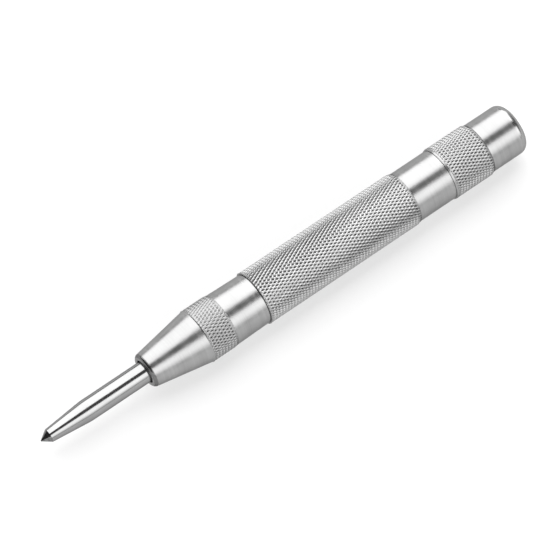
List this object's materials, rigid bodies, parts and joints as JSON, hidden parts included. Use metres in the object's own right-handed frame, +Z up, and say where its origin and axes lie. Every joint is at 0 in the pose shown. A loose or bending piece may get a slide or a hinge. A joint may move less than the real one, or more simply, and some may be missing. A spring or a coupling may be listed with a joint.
{
  "type": "automatic centre punch",
  "caption": "Slim all-steel spring-loaded centre punch: ground point in a conical nose, diamond-knurled barrel and knurled adjusting cap.",
  "frame": {"origin": "on the surface that the tool lies on, under the middle of its length", "axes": "+X along the tool's axis, from the point to the cap; +Z up; the axis is 6.6 mm above the surface"},
  "size_m": [0.13, 0.0132, 0.0132],
  "materials": {
    "brushed_steel": "turned and brushed, diamond knurl on the grips",
    "polished_steel": "polished rod with a darkened, ground conical point",
    "hardened_steel": "ground, hardened, oiled",
    "spring_steel": "drawn wire, oiled"
  },
  "bodies": {
    "barrel": {"barrel": "brushed_steel", "nose_cone": "brushed_steel", "return_spring": "spring_steel"},
    "punch": {"punch_tip": "polished_steel", "plunger": "hardened_steel"},
    "release_pin": {"release_pin": "hardened_steel"},
    "hammer": {"hammer": "hardened_steel"},
    "spring_seat": {"spring_seat": "hardened_steel", "main_spring": "spring_steel"},
    "adjusting_cap": {"adjusting_cap": "brushed_steel"}
  },
  "joints": [
    {"name": "punch_stroke", "type": "slide", "parent": "barrel", "child": "punch", "axis": [1, 0, 0], "range_m": [0, 0.01], "stiffness_N_per_m": 5000, "springref_m": -0.012, "deforming": ["return_spring"]},
    {"name": "pin_tilt", "type": "hinge", "parent": "punch", "child": "release_pin", "pos_m": [-0.0213, 0, 0.0066], "axis": [0, 1, 0], "range_deg": [0, 2.76]},
    {"name": "hammer_lift", "type": "slide", "parent": "barrel", "child": "hammer", "axis": [1, 0, 0], "range_m": [0, 0.01], "deforming": ["main_spring"]},
    {"name": "cap_advance", "type": "slide", "parent": "barrel", "child": "spring_seat", "axis": [1, 0, 0], "range_m": [0, 0.008]},
    {"name": "cap_turn", "type": "hinge", "parent": "spring_seat", "child": "adjusting_cap", "pos_m": [0.0548, 0, 0.0066], "axis": [1, 0, 0], "range_deg": [0, 2880]}
  ],
  "couplings": [
    {"joint": "pin_tilt", "follows": "punch_stroke", "rad_per_m": 4.8},
    {"joint": "hammer_lift", "follows": "punch_stroke", "ratio": 1},
    {"joint": "cap_advance", "follows": "cap_turn", "m_per_rad": 0.00015915}
  ]
}
